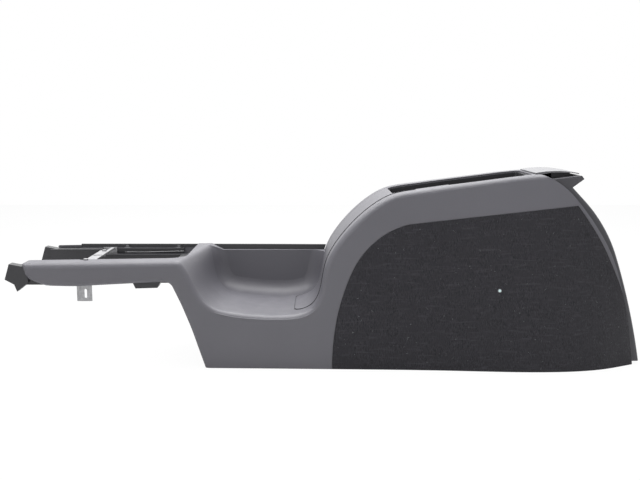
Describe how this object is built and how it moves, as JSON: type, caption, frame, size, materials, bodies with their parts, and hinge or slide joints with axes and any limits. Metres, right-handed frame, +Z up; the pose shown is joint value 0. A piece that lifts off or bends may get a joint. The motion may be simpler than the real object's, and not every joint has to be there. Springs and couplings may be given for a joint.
{
  "type": "car center console",
  "caption": "Long moulded floor console for a car: front arms with a steel strap, a side-open tray, a ramp and a tall rear bin with felt-covered sides, shown without armrest lid or lever trim.",
  "frame": {"origin": "centre of the console's length and width, at the floor line under the side walls", "axes": "+X towards the rear bin and its cover, +Y to the side whose wall is full height at the tray, +Z up"},
  "size_m": [1.0306, 0.2252, 0.3181],
  "materials": {
    "grey_plastic": "fine grain",
    "cover_plastic": "fine grain",
    "black_plastic": "satin",
    "pin_plastic": "satin",
    "carpet": "needle felt",
    "bright_steel": "zinc plated",
    "dark_steel": "black coating",
    "screw_steel": "zinc plated"
  },
  "bodies": {
    "root": {"console_shell": "grey_plastic", "ramp_cover": "grey_plastic", "left_carpet": "carpet", "right_carpet": "carpet", "left_carpet_pin": "pin_plastic", "right_carpet_pin": "pin_plastic", "rear_cover": "cover_plastic", "hinge_cap": "grey_plastic", "storage_bin": "black_plastic", "bin_screws": "screw_steel", "front_carrier": "black_plastic", "bridge_bracket": "bright_steel", "bridge_screw_left": "screw_steel", "bridge_screw_right": "screw_steel", "rim_strip_front": "black_plastic", "rim_strip_rear": "black_plastic", "trim_clip_left_front": "bright_steel", "trim_clip_left_rear": "bright_steel", "trim_clip_right_front": "bright_steel", "trim_clip_right_rear": "bright_steel", "armrest_bracket": "dark_steel", "armrest_screws": "screw_steel", "left_floor_bracket": "dark_steel", "right_floor_bracket": "dark_steel", "left_floor_screw": "screw_steel", "right_floor_screw": "screw_steel"}
  },
  "joints": []
}
